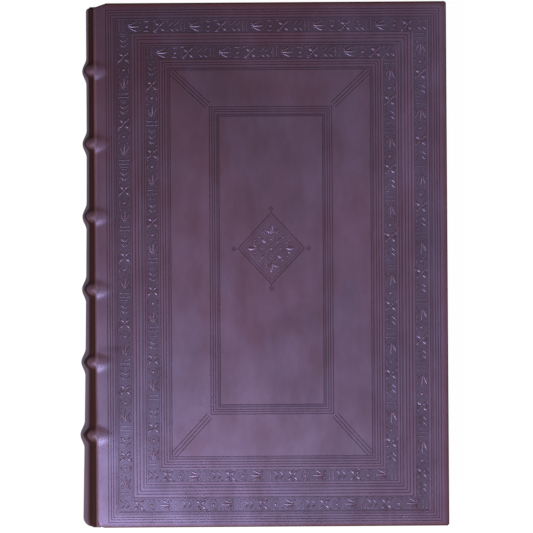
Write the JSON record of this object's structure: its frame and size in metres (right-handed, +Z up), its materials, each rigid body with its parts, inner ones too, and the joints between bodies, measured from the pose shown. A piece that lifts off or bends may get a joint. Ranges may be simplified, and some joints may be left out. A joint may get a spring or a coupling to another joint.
{
  "type": "antique leather book",
  "caption": "Closed folio book in full calf with raised bands, laced-on hinged covers and a blind-tooled panel design on the front.",
  "frame": {"origin": "centre of the whole book's footprint, bands included, on the surface that the back cover rests on", "axes": "+X from the spine to the fore-edge, +Y from the tail to the head, +Z up through the front cover"},
  "size_m": [0.2721, 0.39, 0.0506],
  "materials": {
    "cover_calf": "satin",
    "spine_calf": "satin",
    "page_edges": "matte",
    "endpaper": "matte",
    "lining_paper": "matte",
    "pasteboard": "matte",
    "hemp_cord": "matte",
    "sewing_thread": "matte",
    "endband_silk": "satin"
  },
  "bodies": {
    "book_block": {"text_block": "page_edges", "front_flyleaf": "endpaper", "rear_flyleaf": "endpaper", "sewing_cord_1": "hemp_cord", "sewing_cord_2": "hemp_cord", "sewing_cord_3": "hemp_cord", "sewing_cord_4": "hemp_cord", "sewing_cord_5": "hemp_cord", "sewing_cord_6": "hemp_cord", "spine_lining_1": "lining_paper", "spine_lining_2": "lining_paper", "spine_lining_3": "lining_paper", "spine_lining_4": "lining_paper", "spine_lining_5": "lining_paper", "spine_lining_6": "lining_paper", "spine_lining_7": "lining_paper", "kettle_stitch_head": "sewing_thread", "kettle_stitch_tail": "sewing_thread", "head_endband_core": "hemp_cord", "head_endband_silk": "endband_silk", "tail_endband_core": "hemp_cord", "tail_endband_silk": "endband_silk", "spine_leather": "spine_calf"},
    "front_cover": {"front_board": "pasteboard", "front_cord_slips": "hemp_cord", "front_board_infill": "lining_paper", "front_pastedown": "endpaper", "front_cover_leather": "cover_calf"},
    "back_cover": {"back_board": "pasteboard", "back_cord_slips": "hemp_cord", "back_board_infill": "lining_paper", "back_pastedown": "endpaper", "back_cover_leather": "cover_calf"}
  },
  "joints": [
    {"name": "front_cover_hinge", "type": "hinge", "parent": "book_block", "child": "front_cover", "pos_m": [-0.12835, 0, 0.04662], "axis": [0, -1, 0], "range_deg": [0, 180]},
    {"name": "back_cover_hinge", "type": "hinge", "parent": "book_block", "child": "back_cover", "pos_m": [-0.12835, 0, 0.00258], "axis": [0, 1, 0], "range_deg": [0, 180]}
  ]
}
